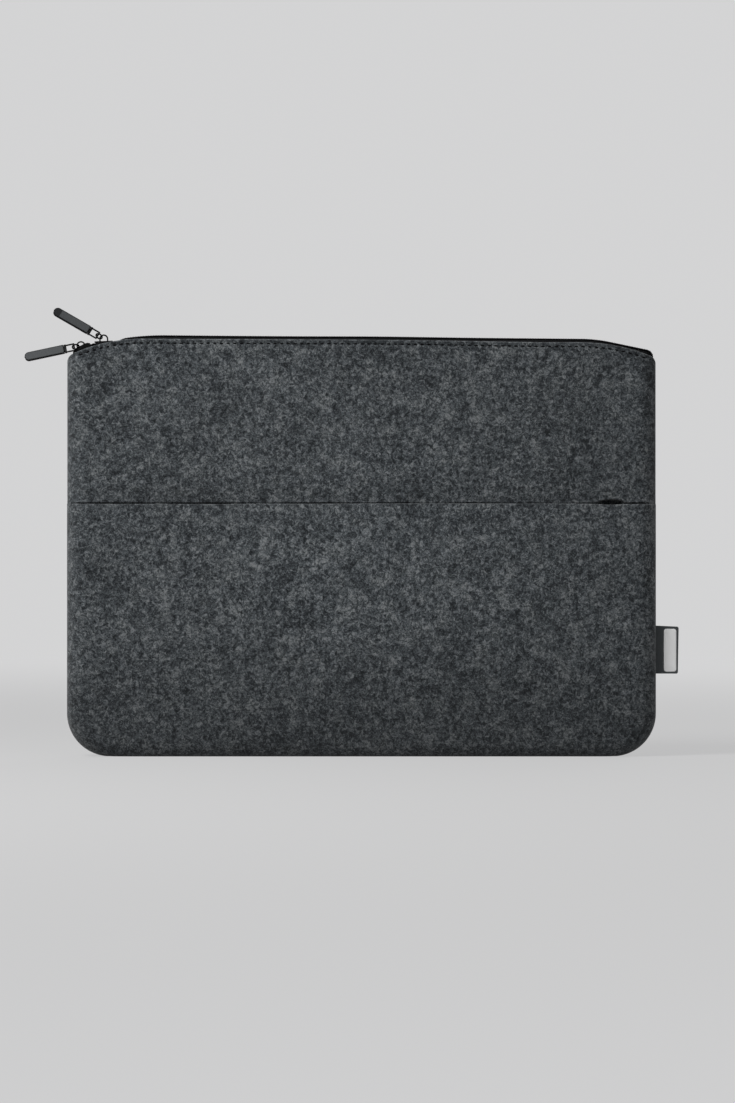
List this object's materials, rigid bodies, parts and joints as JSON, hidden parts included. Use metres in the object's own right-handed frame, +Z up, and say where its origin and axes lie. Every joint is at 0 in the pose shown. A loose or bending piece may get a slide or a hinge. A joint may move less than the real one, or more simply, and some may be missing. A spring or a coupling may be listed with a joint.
{
  "type": "laptop sleeve",
  "caption": "Flat padded felt sleeve for a laptop, with a zipped top, paired zip sliders with strap pulls, an open front pocket and a small side label.",
  "frame": {"origin": "middle of the bottom edge, on the surface the sleeve stands on", "axes": "+X to the right as seen from the front, +Y from the front to the back, +Z up to the zip"},
  "size_m": [0.4116, 0.0252, 0.2821],
  "materials": {
    "felt": "mottled charcoal needle felt",
    "zip_tape": "black woven tape",
    "zip_coil": "black nylon coil",
    "black_metal": "satin black",
    "strap": "matt grey",
    "label": "fine woven"
  },
  "bodies": {
    "sleeve": {"back_panel": "felt", "front_panel": "felt", "pocket_panel": "felt", "zip_tape_back": "zip_tape", "zip_tape_front": "zip_tape", "zip_coil_back": "zip_coil", "zip_coil_front": "zip_coil", "side_label": "label"},
    "right_slider": {"slider_right": "black_metal"},
    "right_ring": {"ring_right": "black_metal"},
    "right_pull": {"loop_right": "black_metal", "strap_right": "strap"},
    "left_slider": {"slider_left": "black_metal"},
    "left_ring": {"ring_left": "black_metal"},
    "left_pull": {"loop_left": "black_metal", "strap_left": "strap"}
  },
  "joints": [
    {"name": "right_slider_run", "type": "hinge", "parent": "sleeve", "child": "right_slider", "pos_m": [0.0264, 0, -3.73745], "axis": [0, 1, 0], "range_deg": [0, 4.34], "deforming": ["zip_coil_back", "zip_coil_front"]},
    {"name": "right_ring_swing", "type": "hinge", "parent": "right_slider", "child": "right_ring", "pos_m": [-0.1621, 0, 0.26231], "axis": [0, 1, 0], "range_deg": [-4, 110]},
    {"name": "right_pull_flap", "type": "hinge", "parent": "right_ring", "child": "right_pull", "pos_m": [-0.16585, 0, 0.26447], "axis": [-0.4568, -0.4067, -0.7912], "range_deg": [-75, 75]},
    {"name": "left_slider_run", "type": "slide", "parent": "sleeve", "child": "left_slider", "axis": [0.866, 0, 0.5], "range_m": [0, 0.0008]},
    {"name": "left_ring_swing", "type": "hinge", "parent": "left_slider", "child": "left_ring", "pos_m": [-0.17645, 0, 0.25807], "axis": [0, 1, 0], "range_deg": [0, 25]},
    {"name": "left_pull_flap", "type": "hinge", "parent": "left_ring", "child": "left_pull", "pos_m": [-0.18068, 0, 0.25717], "axis": [0.1899, -0.4067, -0.8936], "range_deg": [-75, 45]}
  ]
}
